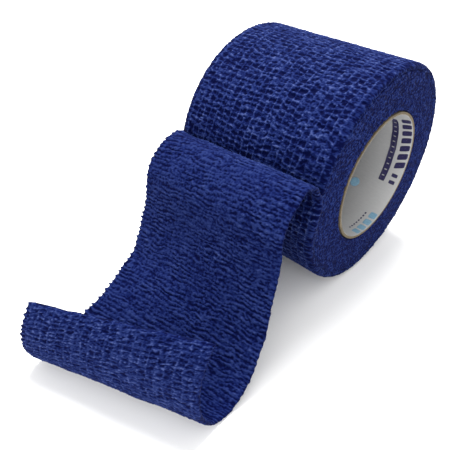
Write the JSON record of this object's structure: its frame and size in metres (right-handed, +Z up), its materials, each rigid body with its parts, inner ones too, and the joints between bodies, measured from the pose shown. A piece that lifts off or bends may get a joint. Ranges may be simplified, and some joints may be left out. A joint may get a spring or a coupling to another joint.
{
  "type": "cohesive elastic bandage roll",
  "caption": "Partly unrolled stretch wrap on a board core, its free end folded over and curled back.",
  "frame": {"origin": "centre of the core's bore, half way along the roll", "axes": "+X along the roll's axis, +Z up; the table is the plane Z = -33.45 mm and the free strip leaves towards -Y"},
  "size_m": [0.0573, 0.1306, 0.0665],
  "materials": {
    "outer_web": "matt crepe nonwoven, open net face",
    "inner_web": "matt crepe nonwoven, wrinkled face",
    "wound_edges": "matt cut edges of the wound turns",
    "elastic_thread": "matt",
    "core_board": "matt",
    "liner_paper": "smooth printed paper"
  },
  "bodies": {
    "roll": {"core_liner": "liner_paper", "core_inner_ply": "core_board", "core_outer_ply": "core_board", "wound_turns": "wound_edges"},
    "lap": {"lap_outer_web": "outer_web", "lap_threads": "elastic_thread", "lap_inner_web": "inner_web", "rise_outer_web": "outer_web", "rise_threads": "elastic_thread", "rise_inner_web": "inner_web"},
    "drop": {"drop_outer_web": "outer_web", "drop_threads": "elastic_thread", "drop_inner_web": "inner_web"},
    "foot": {"foot_outer_web": "outer_web", "foot_threads": "elastic_thread", "foot_inner_web": "inner_web"},
    "curl": {"curl_outer_web": "outer_web", "curl_threads": "elastic_thread", "curl_inner_web": "inner_web"}
  },
  "joints": [
    {"name": "roll_turn", "type": "hinge", "parent": "lap", "child": "roll", "pos_m": [0, 0, 0], "axis": [1, 0, 0], "continuous": true},
    {"name": "crest_bend", "type": "hinge", "parent": "lap", "child": "drop", "pos_m": [0.0012, -0.03513, 0.01067], "axis": [0.9976, 0, 0.0687], "range_deg": [-80, 8]},
    {"name": "belly_bend", "type": "hinge", "parent": "drop", "child": "foot", "pos_m": [0.00549, -0.05781, -0.01992], "axis": [0.9927, 0.0781, 0.092], "range_deg": [-35, 50]},
    {"name": "curl_bend", "type": "hinge", "parent": "foot", "child": "curl", "pos_m": [0.0082, -0.08216, -0.03228], "axis": [0.9568, 0.2905, -0.0087], "range_deg": [-25, 95]}
  ]
}
